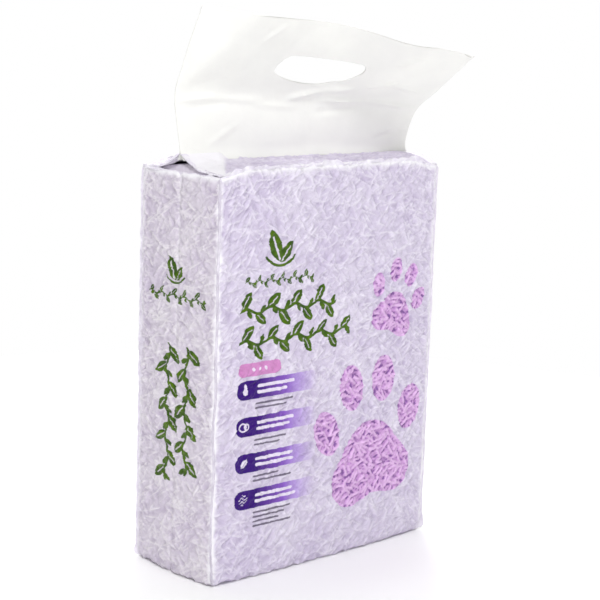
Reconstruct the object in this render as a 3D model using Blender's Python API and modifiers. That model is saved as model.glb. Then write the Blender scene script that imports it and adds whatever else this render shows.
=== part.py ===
"""Cat litter bag: a brick of plant litter pellets in side gusseted film, drawn tight by vacuum.

Above the brick the front and back film lie together as a flat header. It stands on the ridge of the
bag's low roof, bends forward at a soft crease and has a die cut hand hole. The origin is the centre
of the base, +Z is up and the printed front faces -Y. All sizes are in metres.
"""

import math

import bmesh
import bpy
import numpy as np

# Driving dimensions of the filled brick
WIDTH = 0.230  # between the vertical edges, along X
DEPTH = 0.092  # between the front and back edges, along Y
HEIGHT = 0.310  # floor to the top corners
ROOF_RISE = 0.0085  # the ridge above the top corners
TOP_EDGE_RISE = 0.0055  # the pinched top edge above its corners, front and back
TOP_EDGE_RAMP_LEFT = 0.030  # the length over which that edge climbs from each corner
TOP_EDGE_RAMP_RIGHT = 0.035
SIDE_BULGE = 0.0015  # how far a face stands out between its edges, at mid height
FOOT_BULGE = 0.0035  # what the weight of the pellets adds to that near the floor
FOOT_BULGE_HEIGHT = 0.060
LOWER_FULLNESS = 0.75  # the least share of the bulge below mid height, so the foot stays full
GUSSET_VALLEY = 0.0010  # depth of the crease down the middle of each side
GUSSET_HALF_WIDTH = 0.010
EDGE_ROUNDING = 0.0045

# The pinched fin on each vertical edge
FIN_PROUD = 0.0026
FIN_THICKNESS = 0.0009
FIN_ROOT = 0.006
FIN_CLEARANCE = 0.004  # between its ends and the brick's own height

# The gusset's pocket under each end of the roof
POCKET_REACH = DEPTH / 2
ROOF_THICKNESS = 0.0010
POCKET_OVERRUN = 0.010

# The header sheet, measured along the film from the ridge
HEADER_LENGTH = 0.118
HEADER_THICKNESS = 0.0008
HEADER_ROOT = 0.004  # how far it dips into the roof
LEAN_STEPS = 48  # straight steps in which the film's curve is added up
CREASE_LEFT = 0.0495
CREASE_RIGHT = 0.0416
CREASE_HALF_WIDTH = 0.012
BASE_SHIFT_RIGHT = 0.008  # the base of the header wanders forward towards +X
LOWER_LEAN_LEFT = math.radians(-11.6)  # forward lean from the vertical
LOWER_LEAN_RIGHT = math.radians(24.0)
UPPER_LEAN_LEFT = math.radians(35.0)
UPPER_LEAN_RIGHT = math.radians(54.0)
UPPER_LEAN_FROM, UPPER_LEAN_TO = -0.035, 0.070  # where along X the upper lean changes

# The corner at -X that is folded back along a slanting crease
CORNER_CREASE_TOP = (-0.072, 0.118)
CORNER_CREASE_FOOT = (-0.112, 0.056)
CORNER_FOLD = math.radians(19.0)
CORNER_SOFTNESS = 0.006
CORNER_REACH = 0.020  # how far inside the crease the softening still counts
CORNER_FROM, CORNER_TO = 0.030, 0.060  # the fold sets in between these lengths along the film

# The hand hole, on the flat film: a straight upper edge over a long curved lower one
HOLE_LEFT = (-0.0395, 0.0700)
HOLE_TOP_LEFT = (-0.0285, 0.0850)
HOLE_TOP_RIGHT = (0.0265, 0.0848)
HOLE_RIGHT = (0.0340, 0.0775)
HOLE_BOTTOM = (-0.0015, 0.0578)

# Mesh density
BRICK_CUTS = (15, 7, 13)
HEADER_CELLS = (30, 22)

FILM_COLOUR = (0.78, 0.73, 0.85, 1.0)


def smooth_step(low, high, value):
    """0 below low, 1 above high, and an even S between them."""
    t = min(max((value - low) / (high - low), 0.0), 1.0)
    return t * t * (3.0 - 2.0 * t)


def mix(first, second, share):
    return first + (second - first) * share


def clear_scene():
    for old in list(bpy.data.objects):
        bpy.data.objects.remove(old, do_unlink=True)


def new_collection(name):
    collection = bpy.data.collections.new(name)
    bpy.context.scene.collection.children.link(collection)
    return collection


def new_object(name, mesh, collection):
    made = bpy.data.objects.new(name, mesh)
    collection.objects.link(made)
    return made


def mark_as_cutter(cutter):
    cutter.hide_render = True
    cutter.display_type = "WIRE"


def add_boolean(target, other, operation):
    modifier = target.modifiers.new(operation.title() + " " + other.name, "BOOLEAN")
    modifier.operation = operation
    modifier.solver = "EXACT"
    modifier.object = other


def evaluated_mesh(source):
    """A plain mesh of the object with its modifiers applied."""
    depsgraph = bpy.context.evaluated_depsgraph_get()
    return bpy.data.meshes.new_from_object(source.evaluated_get(depsgraph))


# The brick ---------------------------------------------------------------------------------------


def top_edge_height(x):
    """Height of the pinched edge where a large face meets the roof."""
    half = WIDTH / 2
    climb = smooth_step(-half, -half + TOP_EDGE_RAMP_LEFT, x)
    fall = smooth_step(half - TOP_EDGE_RAMP_RIGHT, half, x)
    raised = climb * (1.0 - fall)
    return HEIGHT + TOP_EDGE_RISE * raised


def roof_height(x, y):
    """A low gable, from the pinched edges up to the ridge."""
    outward = min(abs(y) / (DEPTH / 2), 1.0)
    return mix(HEIGHT + ROOF_RISE, top_edge_height(x), outward)


def bulge(height):
    return SIDE_BULGE + FOOT_BULGE * math.exp(-((height / FOOT_BULGE_HEIGHT) ** 2))


def brick_point(u, v, w):
    """Place of a point of the unit block, with u and v from -1 to 1 and w from 0 to 1."""
    x = u * WIDTH / 2
    y = v * DEPTH / 2
    z = w * roof_height(x, y)
    arch_x = 1.0 - v * v
    arch_y = 1.0 - u**4
    fullness = math.sin(math.pi * w) ** 0.5
    if w < 0.5:
        fullness = max(fullness, LOWER_FULLNESS)
    x += u * bulge(z) * arch_x * fullness
    y += v * bulge(z) * arch_y * fullness
    valley = max(0.0, 1.0 - abs(y) / GUSSET_HALF_WIDTH) * abs(u) ** 8
    x -= math.copysign(GUSSET_VALLEY * valley, u)
    return x, y, z


def make_brick(collection):
    """A cube cut into cells, each corner of which is moved to its place on the packed brick."""
    form = bmesh.new()
    bmesh.ops.create_cube(form, size=2.0)
    for axis, cuts in enumerate(BRICK_CUTS):
        along = [
            edge
            for edge in form.edges
            if abs(edge.verts[0].co[axis] - edge.verts[1].co[axis]) > 1.0
        ]
        bmesh.ops.subdivide_edges(form, edges=along, cuts=cuts, use_grid_fill=True)
    for vert in form.verts:
        u, v, w = vert.co
        vert.co = brick_point(u, v, (w + 1.0) / 2.0)
    mesh = bpy.data.meshes.new("litter_bag")
    form.to_mesh(mesh)
    form.free()
    brick = new_object("litter_bag", mesh, collection)
    rounding = brick.modifiers.new("Rounded edges", "BEVEL")
    rounding.width = EDGE_ROUNDING
    rounding.segments = 2
    rounding.limit_method = "ANGLE"
    rounding.angle_limit = math.radians(50.0)
    return brick


def make_fin(name, side, face, cutters):
    """The seam where a side gusset is pinched to the front or back film, standing out at 45 degrees."""
    bpy.ops.mesh.primitive_cube_add(size=1.0)
    fin = bpy.context.active_object
    fin.name = name
    fin.scale = (FIN_ROOT + FIN_PROUD, FIN_THICKNESS, HEIGHT - 2 * FIN_CLEARANCE)
    bpy.ops.object.transform_apply(location=False, rotation=False, scale=True)
    outward = math.atan2(face, side)
    middle = (FIN_PROUD - FIN_ROOT) / 2
    fin.location = (
        side * WIDTH / 2 + math.cos(outward) * middle,
        face * DEPTH / 2 + math.sin(outward) * middle,
        HEIGHT / 2,
    )
    fin.rotation_euler = (0.0, 0.0, outward)
    for owner in list(fin.users_collection):
        owner.objects.unlink(fin)
    cutters.objects.link(fin)
    mark_as_cutter(fin)
    return fin


def make_pocket(name, side, cutters):
    """The wedge of air between the folded in gusset and the end of the roof."""
    lip = POCKET_REACH + POCKET_OVERRUN
    spread = lip / POCKET_REACH
    ceiling = ROOF_RISE - ROOF_THICKNESS
    mouth_x = side * (WIDTH / 2 + POCKET_OVERRUN)
    inner_x = side * (WIDTH / 2 - POCKET_REACH)
    form = bmesh.new()
    corners = [
        (inner_x, 0.0, HEIGHT + ceiling),
        (mouth_x, 0.0, HEIGHT + ceiling),
        (mouth_x, -DEPTH / 2 * spread, HEIGHT + ceiling - ROOF_RISE * spread),
        (mouth_x, DEPTH / 2 * spread, HEIGHT + ceiling - ROOF_RISE * spread),
    ]
    for corner in corners:
        form.verts.new(corner)
    bmesh.ops.convex_hull(form, input=form.verts)
    bmesh.ops.recalc_face_normals(form, faces=form.faces)
    mesh = bpy.data.meshes.new(name)
    form.to_mesh(mesh)
    form.free()
    pocket = new_object(name, mesh, cutters)
    mark_as_cutter(pocket)
    return pocket


# The header --------------------------------------------------------------------------------------


def header_lean(x, along):
    """Forward lean of the film from the vertical, at a distance along it from the ridge."""
    share = (x + WIDTH / 2) / WIDTH
    lower = mix(LOWER_LEAN_LEFT, LOWER_LEAN_RIGHT, share)
    upper = mix(UPPER_LEAN_LEFT, UPPER_LEAN_RIGHT, smooth_step(UPPER_LEAN_FROM, UPPER_LEAN_TO, x))
    crease = mix(CREASE_LEFT, CREASE_RIGHT, share)
    turned = smooth_step(crease - CREASE_HALF_WIDTH, crease + CREASE_HALF_WIDTH, along)
    return mix(lower, upper, turned)


def corner_lift(x, along):
    """How far the folded back corner stands behind the plane of the rest."""
    top_x, top_along = CORNER_CREASE_TOP
    foot_x, foot_along = CORNER_CREASE_FOOT
    run_x, run_along = top_x - foot_x, top_along - foot_along
    length = math.hypot(run_x, run_along)
    beyond = ((along - foot_along) * run_x - (x - foot_x) * run_along) / length
    if beyond < -CORNER_REACH:
        return 0.0
    softened = (beyond + math.hypot(beyond, CORNER_SOFTNESS)) / 2
    return softened * math.sin(CORNER_FOLD) * smooth_step(CORNER_FROM, CORNER_TO, along)


def header_point(x, along, through):
    """Place of a point of the flat film, with its distance in front of the film's middle."""
    share = (x + WIDTH / 2) / WIDTH
    step = along / LEAN_STEPS
    leans = [header_lean(x, (i + 0.5) * step) for i in range(LEAN_STEPS)]
    y = -BASE_SHIFT_RIGHT * share - step * float(np.sum(np.sin(leans)))
    z = HEIGHT + ROOF_RISE + step * float(np.sum(np.cos(leans)))
    lean = header_lean(x, along)
    behind = corner_lift(x, along) - through
    return x, y + behind * math.cos(lean), z + behind * math.sin(lean)


def make_hole_cutter(cutters):
    """The hand hole's outline as a flat curve, extruded through the film."""
    curve = bpy.data.curves.new("hand_hole_outline", "CURVE")
    curve.dimensions = "2D"
    curve.fill_mode = "BOTH"
    curve.extrude = HEADER_THICKNESS * 3
    curve.resolution_u = 6
    spline = curve.splines.new("BEZIER")
    points = [
        (HOLE_LEFT, (0.002, -0.004), (0.0, 0.006)),
        (HOLE_TOP_LEFT, (-0.005, 0.0), (0.010, 0.0)),
        (HOLE_TOP_RIGHT, (-0.010, 0.0), (0.005, 0.0)),
        (HOLE_RIGHT, (0.0, 0.004), (0.0, -0.007)),
        (HOLE_BOTTOM, (0.018, 0.0), (-0.018, 0.0)),
    ]
    spline.bezier_points.add(len(points) - 1)
    for knot, (place, before, after) in zip(spline.bezier_points, points):
        knot.co = (*place, 0.0)
        knot.handle_left = (place[0] + before[0], place[1] + before[1], 0.0)
        knot.handle_right = (place[0] + after[0], place[1] + after[1], 0.0)
    spline.use_cyclic_u = True
    outline = new_object("hand_hole_outline", curve, cutters)
    bpy.context.view_layer.update()
    mesh = evaluated_mesh(outline)
    bpy.data.objects.remove(outline, do_unlink=True)
    form = bmesh.new()
    form.from_mesh(mesh)
    bmesh.ops.remove_doubles(form, verts=form.verts, dist=0.00001)
    bmesh.ops.recalc_face_normals(form, faces=form.faces)
    form.to_mesh(mesh)
    form.free()
    cutter = new_object("hand_hole", mesh, cutters)
    mark_as_cutter(cutter)
    return cutter


def make_header(cutters):
    """A flat sheet with the hand hole cut out of it, then bent to the header's form."""
    cells_x, cells_along = HEADER_CELLS
    bpy.ops.mesh.primitive_grid_add(x_subdivisions=cells_x, y_subdivisions=cells_along, size=1.0)
    sheet = bpy.context.active_object
    sheet.name = "flat_header"
    length = HEADER_LENGTH + HEADER_ROOT
    sheet.scale = (WIDTH, length, 1.0)
    sheet.location = (0.0, length / 2 - HEADER_ROOT, 0.0)
    bpy.ops.object.transform_apply(location=True, rotation=False, scale=True)
    solidify = sheet.modifiers.new("Film thickness", "SOLIDIFY")
    solidify.thickness = HEADER_THICKNESS
    solidify.offset = 0.0
    add_boolean(sheet, make_hole_cutter(cutters), "DIFFERENCE")
    bpy.context.view_layer.update()
    mesh = evaluated_mesh(sheet)
    bpy.data.objects.remove(sheet, do_unlink=True)
    form = bmesh.new()
    form.from_mesh(mesh)
    bmesh.ops.triangulate(form, faces=form.faces)
    for vert in form.verts:
        vert.co = header_point(*vert.co)
    bmesh.ops.recalc_face_normals(form, faces=form.faces)
    form.to_mesh(mesh)
    form.free()
    header = new_object("header", mesh, cutters)
    mark_as_cutter(header)
    return header


# The whole bag -----------------------------------------------------------------------------------


def film_material():
    """Milky lavender film over pale pellets."""
    material = bpy.data.materials.new("milky_film")
    material.use_nodes = True
    shader = material.node_tree.nodes["Principled BSDF"]
    shader.inputs["Base Color"].default_value = FILM_COLOUR
    shader.inputs["Roughness"].default_value = 0.35
    shader.inputs["Metallic"].default_value = 0.0
    return material


def main():
    clear_scene()
    bag_parts = new_collection("cat_litter_bag")
    cutters = new_collection("cutters")
    bag = make_brick(bag_parts)
    for side in (-1, 1):
        for face in (-1, 1):
            name = f"fin_{'left' if side < 0 else 'right'}_{'front' if face < 0 else 'back'}"
            add_boolean(bag, make_fin(name, side, face, cutters), "UNION")
    for side in (-1, 1):
        name = f"pocket_{'left' if side < 0 else 'right'}"
        add_boolean(bag, make_pocket(name, side, cutters), "DIFFERENCE")
    add_boolean(bag, make_header(cutters), "UNION")
    bag.data.materials.append(film_material())
    bag.data.shade_smooth()
    bag.data.set_sharp_from_angle(angle=math.radians(40.0))


main()
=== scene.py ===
"""The looks of the cat litter bag: milky film drawn tight over plant pellets, under a creased header.

The film is built panel by panel. Each panel has its own heap of pellets, and the film is stretched
over that heap as a membrane, so the bumps are geometry. The print and the clear windows are flat
shapes held as signed distances on the film, so their edges stay sharp. All sizes are in metres.
"""

import math

import bmesh
import bpy
import numpy as np
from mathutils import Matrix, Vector


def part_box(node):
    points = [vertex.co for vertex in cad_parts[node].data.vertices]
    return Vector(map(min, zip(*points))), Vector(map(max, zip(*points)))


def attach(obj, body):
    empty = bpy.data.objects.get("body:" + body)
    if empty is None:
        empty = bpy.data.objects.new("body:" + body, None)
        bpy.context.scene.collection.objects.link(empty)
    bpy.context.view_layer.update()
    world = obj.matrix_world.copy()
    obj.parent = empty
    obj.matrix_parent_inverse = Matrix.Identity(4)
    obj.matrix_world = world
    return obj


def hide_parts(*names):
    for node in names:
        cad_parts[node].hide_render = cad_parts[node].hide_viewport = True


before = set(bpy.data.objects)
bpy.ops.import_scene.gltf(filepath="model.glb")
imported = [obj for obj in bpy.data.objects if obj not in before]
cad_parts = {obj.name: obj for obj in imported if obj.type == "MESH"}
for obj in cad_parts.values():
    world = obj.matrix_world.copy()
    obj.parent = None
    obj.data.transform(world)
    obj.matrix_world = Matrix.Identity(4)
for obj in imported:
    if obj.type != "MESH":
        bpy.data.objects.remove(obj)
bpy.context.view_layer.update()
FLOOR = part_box("litter_bag")[0].z
MM = 0.001

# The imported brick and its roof, as the CAD model has them
WIDTH = 0.230
DEPTH = 0.092
HEIGHT = 0.310
ROOF_RISE = 0.0085
TOP_EDGE_RISE = 0.0055
SIDE_BULGE = 0.0015
FOOT_BULGE = 0.0035
FOOT_BULGE_HEIGHT = 0.060
FOOT_ROUNDING = 0.006
POCKET_REACH = DEPTH / 2
LOWER_FULLNESS = 0.75  # the lower half keeps at least this share of the bulge, right down to the floor
GUSSET_VALLEY = 0.9 * MM  # depth of the crease down a gusset
GUSSET_VALLEY_MORE = 0.8 * MM  # and how much deeper it gets towards the top

# The header sheet, measured along the film from the ridge
HEADER_LENGTH = 0.118
CREASE_LEFT = 0.0495
CREASE_RIGHT = 0.0416
CREASE_HALF_WIDTH = 0.012
BASE_SHIFT_RIGHT = 0.008
LOWER_LEAN_LEFT = math.radians(-11.6)
LOWER_LEAN_RIGHT = math.radians(24.0)
UPPER_LEAN_LEFT = math.radians(35.0)
UPPER_LEAN_RIGHT = math.radians(54.0)
UPPER_LEAN_FROM, UPPER_LEAN_TO = -0.035, 0.070
CORNER_CREASE_TOP = (-0.072, 0.118)
CORNER_CREASE_FOOT = (-0.112, 0.056)
CORNER_FOLD = math.radians(19.0)
CORNER_SOFTNESS = 0.004
FILM_THICKNESS = 0.00025
LEAN_STEPS = 48  # steps along the film in which the header's lean is added up

# The pellets, and how the film lies on them
PELLET_RADIUS = 1.1 * MM
PELLET_LENGTHS = (6 * MM, 12 * MM)
PELLET_LAYERS = ((0.0, 0.10), (-1.3 * MM, 0.25), (-2.4 * MM, 0.6))  # height, and overlap allowed
HEAP_BOTTOM = -4.2 * MM
STEEPEST = math.radians(68)  # pellets settle, so none of them, nor the creases between them, is upright
PELLET_AREA = 6 * MM * MM  # of wall, for each try at placing one
PELLET_UNEVEN = 0.34 * MM
FILM_SAG = 0.035 * MM
SAG_PASSES = 60
WINDOW_DEPTH = 0.9 * MM  # how deep the clear film shows the pellets' own form
LIFTED = 0.7 * MM  # how far the film stands off the pellets beside a seam

# The sharp little creases of the shrunk film
CREASE_LENGTHS = (9 * MM, 30 * MM)
CREASE_WIDTHS = (0.8 * MM, 1.15 * MM)
BROAD_FLANK = 1.7
CREASE_HEIGHTS = (0.4 * MM, 1.5 * MM)
CREASE_AREA = 11 * MM * MM  # one crease for each such patch of film
CREASE_BEND = 4  # a crease curves aside by up to this times its distance along, squared, in 1/m
RIDGE_SHARE = 0.65  # of the creases; the rest are valleys
VALLEY_DEPTH = 0.55  # of the height of a ridge


# Small tools -----------------------------------------------


def smooth_step(low, high, value):
    t = np.clip((value - low) / (high - low), 0.0, 1.0)
    return t * t * (3.0 - 2.0 * t)


def mix(first, second, share):
    return first + (second - first) * share


def blurred(field, passes):
    """The field after a number of small even blurs, with its edges held by repetition."""
    for _ in range(passes):
        wide = np.pad(field, 1, mode="edge")
        field = (wide[:-2, 1:-1] + wide[2:, 1:-1] + wide[1:-1, :-2] + wide[1:-1, 2:]) / 4
    return field


def soft_noise(shape, cell, seed):
    """Smooth noise from about -1 to 1, with one random value every `cell` samples."""
    rows, cols = shape
    rng = np.random.default_rng(seed)
    coarse = rng.uniform(-1, 1, (int(rows / cell) + 4, int(cols / cell) + 4))
    r, c = np.arange(rows) / cell, np.arange(cols) / cell
    r0, c0 = r.astype(int), c.astype(int)
    fr, fc = smooth_step(0, 1, r - r0)[:, None], smooth_step(0, 1, c - c0)[None, :]
    top = mix(coarse[np.ix_(r0, c0)], coarse[np.ix_(r0, c0 + 1)], fc)
    bottom = mix(coarse[np.ix_(r0 + 1, c0)], coarse[np.ix_(r0 + 1, c0 + 1)], fc)
    return mix(top, bottom, fr)


def grid_normals(points):
    """Unit normals of a grid of points, in the direction of rows crossed with columns."""
    down = np.gradient(points, axis=0)
    across = np.gradient(points, axis=1)
    normals = np.cross(across, down)
    return normals / np.maximum(np.linalg.norm(normals, axis=2, keepdims=True), 1e-12)


def grid_faces(rows, cols, start=0):
    first = (np.arange(rows - 1)[:, None] * cols + np.arange(cols - 1)[None, :]).ravel() + start
    return np.stack([first, first + 1, first + cols + 1, first + cols], axis=1)


def line_noise(count, cell, seed):
    return soft_noise((count, 1), cell, seed)[:, 0]


def placed(name, data):
    """A new object with this data, in the scene."""
    made = bpy.data.objects.new(name, data)
    bpy.context.scene.collection.objects.link(made)
    return made


def mesh_object(name, vertices, faces, attributes, material):
    mesh = bpy.data.meshes.new(name)
    mesh.from_pydata(vertices.tolist(), [], faces.tolist())
    for key, values in attributes.items():
        layer = mesh.attributes.new(key, "FLOAT", "POINT")
        layer.data.foreach_set("value", np.asarray(values, np.float32).ravel())
    mesh.materials.append(material)
    mesh.shade_smooth()
    return placed(name, mesh)


def grid_object(name, points, attributes, material, flip=False):
    """An object from a grid of points, none of which may lie under the floor."""
    points = np.concatenate([points[:, :, :2], points[:, :, 2:].clip(FLOOR)], axis=2)
    rows, cols, _ = points.shape
    faces = grid_faces(rows, cols)
    if flip:
        faces = faces[:, ::-1]
    return mesh_object(name, points.reshape(-1, 3), faces, attributes, material)


# Pellets and film ------------------------------------------


def stroke_patch(shape, step, row, col, angle, reach):
    """The part of a grid near a stroke, with distances along and beside it, or None off the grid."""
    rows, cols = shape
    r0, r1 = max(int(row) - reach, 0), min(int(row) + reach + 1, rows)
    c0, c1 = max(int(col) - reach, 0), min(int(col) + reach + 1, cols)
    if r1 - r0 < 2 or c1 - c0 < 2:
        return None
    dr = (np.arange(r0, r1)[:, None] - row) * step
    dc = (np.arange(c0, c1)[None, :] - col) * step
    along = dc * math.cos(angle) + dr * math.sin(angle)
    aside = -dc * math.sin(angle) + dr * math.cos(angle)
    return (slice(r0, r1), slice(c0, c1)), along, aside


def pellet_heap(shape, step, seed):
    """Height of the outermost pellet at each sample of a wall, with 0 at the face of the heap."""
    rows, cols = shape
    rng = np.random.default_rng(seed)
    heap = np.full(shape, HEAP_BOTTOM)
    for depth, overlap in reversed(PELLET_LAYERS):
        taken = np.zeros(shape, bool)
        tries = int(rows * cols * step * step / PELLET_AREA)
        centres = rng.uniform((0, 0), (rows, cols), (tries, 2))
        angles = rng.uniform(-STEEPEST, STEEPEST, tries)
        lengths = rng.uniform(*PELLET_LENGTHS, tries)
        tilts = rng.normal(0, 0.07, tries)
        lifts = rng.normal(0, PELLET_UNEVEN, tries)
        for (row, col), angle, length, tilt, lift in zip(centres, angles, lengths, tilts, lifts):
            reach = int((length / 2 + PELLET_RADIUS) / step) + 1
            found = stroke_patch(shape, step, row, col, angle, reach)
            if found is None:
                continue
            patch, along, aside = found
            half = length / 2 - PELLET_RADIUS * 0.6
            past = np.maximum(np.abs(along) - half, 0.0)
            distance = np.hypot(past * 1.3, aside)
            inside = distance < PELLET_RADIUS
            if not inside.any() or taken[patch][inside].mean() > overlap:
                continue
            taken[patch] |= inside
            crown = np.sqrt(np.maximum(PELLET_RADIUS**2 - distance**2, 0.0)) - PELLET_RADIUS
            height = np.where(inside, depth + lift + crown + along * tilt, -1.0)
            heap[patch] = np.maximum(heap[patch], height)
    return heap


def stretched_film(heap):
    """The film's height: it rests on the highest pellets and is drawn nearly flat between them."""
    film = np.maximum(heap, blurred(heap, 6))
    for _ in range(SAG_PASSES):
        film = np.maximum(heap, blurred(film, 1) - FILM_SAG)
    return film


def film_creases(shape, step, seed):
    """Sharp folds in the film, steep on one side: ridges up to 1.5 mm high, and shallower valleys."""
    rows, cols = shape
    rng = np.random.default_rng(seed)
    ridges, valleys = np.zeros(shape), np.zeros(shape)
    for _ in range(int(rows * cols * step * step / CREASE_AREA)):
        row, col = rng.uniform(0, rows), rng.uniform(0, cols)
        angle, length = rng.uniform(-STEEPEST, STEEPEST), rng.uniform(*CREASE_LENGTHS)
        wide, height = rng.uniform(*CREASE_WIDTHS), rng.uniform(*CREASE_HEIGHTS)
        bend = rng.uniform(-CREASE_BEND, CREASE_BEND)
        reach = int((length / 2 + wide * BROAD_FLANK) / step) + 1
        found = stroke_patch(shape, step, row, col, angle, reach)
        if found is None:
            continue
        patch, along, aside = found
        aside = aside + bend * along**2
        taper = np.clip(1 - (2 * along / length) ** 2, 0, 1)
        flank = np.where(aside > 0, wide, wide * BROAD_FLANK)
        fold = height * taper * np.clip(1 - np.abs(aside) / flank, 0, 1) ** 1.3
        field = ridges if rng.uniform() < RIDGE_SHARE else valleys
        field[patch] = np.maximum(field[patch], fold)
    return ridges - VALLEY_DEPTH * valleys


def film_relief(shape, step, seed, lift, window=None):
    """Relief of a panel, and what its colour needs. lift is 1 where the film stands off the pellets."""
    heap = pellet_heap(shape, step, seed)
    film = stretched_film(heap)
    ground = blurred(film, 60)
    creases = film_creases(shape, step, seed + 3)
    if window is None:
        window = np.zeros(shape)
    film = mix(film, np.maximum(heap, film - WINDOW_DEPTH), window)
    bumps = film - ground
    wrinkles = soft_noise(shape, 1.3, seed + 1) * 0.05 * MM + soft_noise(shape, 8, seed + 2) * 0.14 * MM
    relief = bumps * (1 - 0.7 * lift) + creases * (1 - 0.4 * window) + wrinkles + lift * LIFTED
    depth = (ground + 0.3 * MM - heap) / MM
    return relief, {"relief": bumps / MM, "ridge": creases / (0.9 * MM), "depth": depth, "lift": lift}


# The brick's outer form ------------------------------------


def top_edge_height(x):
    half = WIDTH / 2
    raised = smooth_step(-half, -half + 0.030, x) * (1 - smooth_step(half - 0.035, half, x))
    return HEIGHT + TOP_EDGE_RISE * raised


def bulge(height):
    return SIDE_BULGE + FOOT_BULGE * np.exp(-((height / FOOT_BULGE_HEIGHT) ** 2))


def fullness(share):
    """The share of the bulge that a wall has, by its share of the height: none at the top edge."""
    return np.maximum(np.sqrt(np.sin(math.pi * share).clip(0)), LOWER_FULLNESS * (share < 0.5))


def foot_inset(height):
    """How far a wall draws in where it rolls under at the floor."""
    left = np.clip(FOOT_ROUNDING - height, 0, FOOT_ROUNDING)
    return FOOT_ROUNDING - np.sqrt(FOOT_ROUNDING**2 - left**2)


def face_points(face, columns, rows):
    """Points of the front (face -1) or back (face 1) film, before its relief."""
    x = np.linspace(-WIDTH / 2, WIDTH / 2, columns)[None, :]
    share = np.linspace(0, 1, rows)[:, None]
    z = share * top_edge_height(x)
    arch = 1 - (2 * x / WIDTH) ** 4
    hold = fullness(share)
    y = face * (DEPTH / 2 + bulge(z) * arch * hold - foot_inset(z))
    inset = np.sign(x) * foot_inset(z) * np.abs(2 * x / WIDTH) ** 12
    return np.stack([x + 0 * z - inset, y, z + FLOOR], axis=2)


def side_points(side, columns, rows):
    """Points of a gusset, from its front edge to its back edge, before its relief."""
    y = np.linspace(-DEPTH / 2, DEPTH / 2, columns)[None, :]
    share = np.linspace(0, 1, rows)[:, None]
    z = share * HEIGHT + 0 * y
    arch = 1 - (2 * y / DEPTH) ** 2
    hold = fullness(share)
    deep = GUSSET_VALLEY + GUSSET_VALLEY_MORE * smooth_step(0.6, 1, share)
    valley = np.exp(-((y / (2.2 * MM)) ** 2)) * deep
    x = side * (WIDTH / 2 + bulge(z) * arch * hold - foot_inset(z) - valley)
    inset = np.sign(y) * foot_inset(z) * np.abs(2 * y / DEPTH) ** 8
    return np.stack([x, y + 0 * z - inset, z + FLOOR], axis=2)


def edge_lift(to_side, to_top, top_reach, seed):
    """1 at a panel's edges, where seams and folds hold the film off the pellets, fading inward."""
    shape = to_side.shape
    wobble = 1 + 0.45 * soft_noise(shape, 9, seed) + 0.25 * soft_noise(shape, 3.5, seed + 5)
    aside = np.exp(-(to_side / (2.6 * MM * wobble)) ** 1.5)
    above = np.exp(-(to_top / (top_reach * wobble)) ** 1.5)
    return np.clip(np.maximum(aside, above), 0, 1)


# Print shapes, as signed distances in millimetres ----------


def turned(x, z, centre, angle):
    dx, dz = x - centre[0], z - centre[1]
    c, s = math.cos(angle), math.sin(angle)
    return dx * c + dz * s, -dx * s + dz * c


def circle(x, z, centre, radius):
    return np.hypot(x - centre[0], z - centre[1]) - radius


def ellipse(x, z, centre, radii, angle=0.0):
    a, b = turned(x, z, centre, angle)
    return (np.hypot(a / radii[0], b / radii[1]) - 1) * min(radii)


def rounded_bar(x, z, centre, half, corner):
    dx = np.abs(x - centre[0]) - half[0] + corner
    dz = np.abs(z - centre[1]) - half[1] + corner
    return np.hypot(dx.clip(0), dz.clip(0)) + np.minimum(np.maximum(dx, dz), 0) - corner


def leaf(x, z, foot, length, width, angle):
    """A pointed oval that grows from foot in the direction of angle."""
    centre = (foot[0] + math.cos(angle) * length / 2, foot[1] + math.sin(angle) * length / 2)
    a, b = turned(x, z, centre, angle)
    radius = (length**2 + width**2) / (4 * width)
    offset = radius - width / 2
    return np.maximum(np.hypot(a, b + offset), np.hypot(a, b - offset)) - radius


def veined_leaf(x, z, foot, length, width, angle):
    """A leaf with an open line along its middle rib."""
    centre = (foot[0] + math.cos(angle) * length * 0.42, foot[1] + math.sin(angle) * length * 0.42)
    a, b = turned(x, z, centre, angle)
    rib = np.maximum(np.abs(b) - 0.028 * length, np.abs(a) - 0.36 * length)
    return np.maximum(leaf(x, z, foot, length, width, angle), -rib)


def vine(x, z, start, length, height, leaves, seed):
    """A wavy stem with bold leaves on alternate sides, along +x from start."""
    rng = np.random.default_rng(seed)
    a, b = x - start[0], z - start[1]
    pitch = length / leaves
    wave = 0.10 * height * np.sin(a * math.pi / pitch)
    shape = np.maximum(np.abs(b - wave) - 0.055 * height, np.abs(a - length / 2) - length / 2)
    for i in range(leaves):
        at = (i + 0.18) * pitch
        up = 1 if i % 2 == 0 else -1
        foot = (at, 0.10 * height * math.sin(at * math.pi / pitch))
        lean = up * math.radians(rng.uniform(38, 62))
        size = height * rng.uniform(0.66, 0.80)
        shape = np.minimum(shape, veined_leaf(a, b, foot, size, size * rng.uniform(0.44, 0.54), lean))
        small = height * rng.uniform(0.36, 0.44)
        foot = (at + 0.42 * pitch, foot[1])
        shape = np.minimum(shape, leaf(a, b, foot, small, small * 0.46, -lean))
    return shape


def emblem(x, z, centre, size):
    """Two leaves that lean away from each other over a short arc of ground."""
    foot = (centre[0], centre[1] - size * 0.40)
    left = veined_leaf(x, z, foot, size * 0.92, size * 0.40, math.radians(112))
    right = veined_leaf(x, z, foot, size * 0.66, size * 0.32, math.radians(52))
    ring = np.abs(circle(x, z, (centre[0], centre[1] + size * 0.1), size * 0.58)) - size * 0.035
    ground = np.maximum(ring, (z - centre[1]) + size * 0.22)
    return np.minimum(np.minimum(left, right), ground)


def smooth_union(first, second, softness):
    share = np.clip(0.5 + 0.5 * (second - first) / softness, 0, 1)
    return second * (1 - share) + first * share - softness * share * (1 - share)


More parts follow.
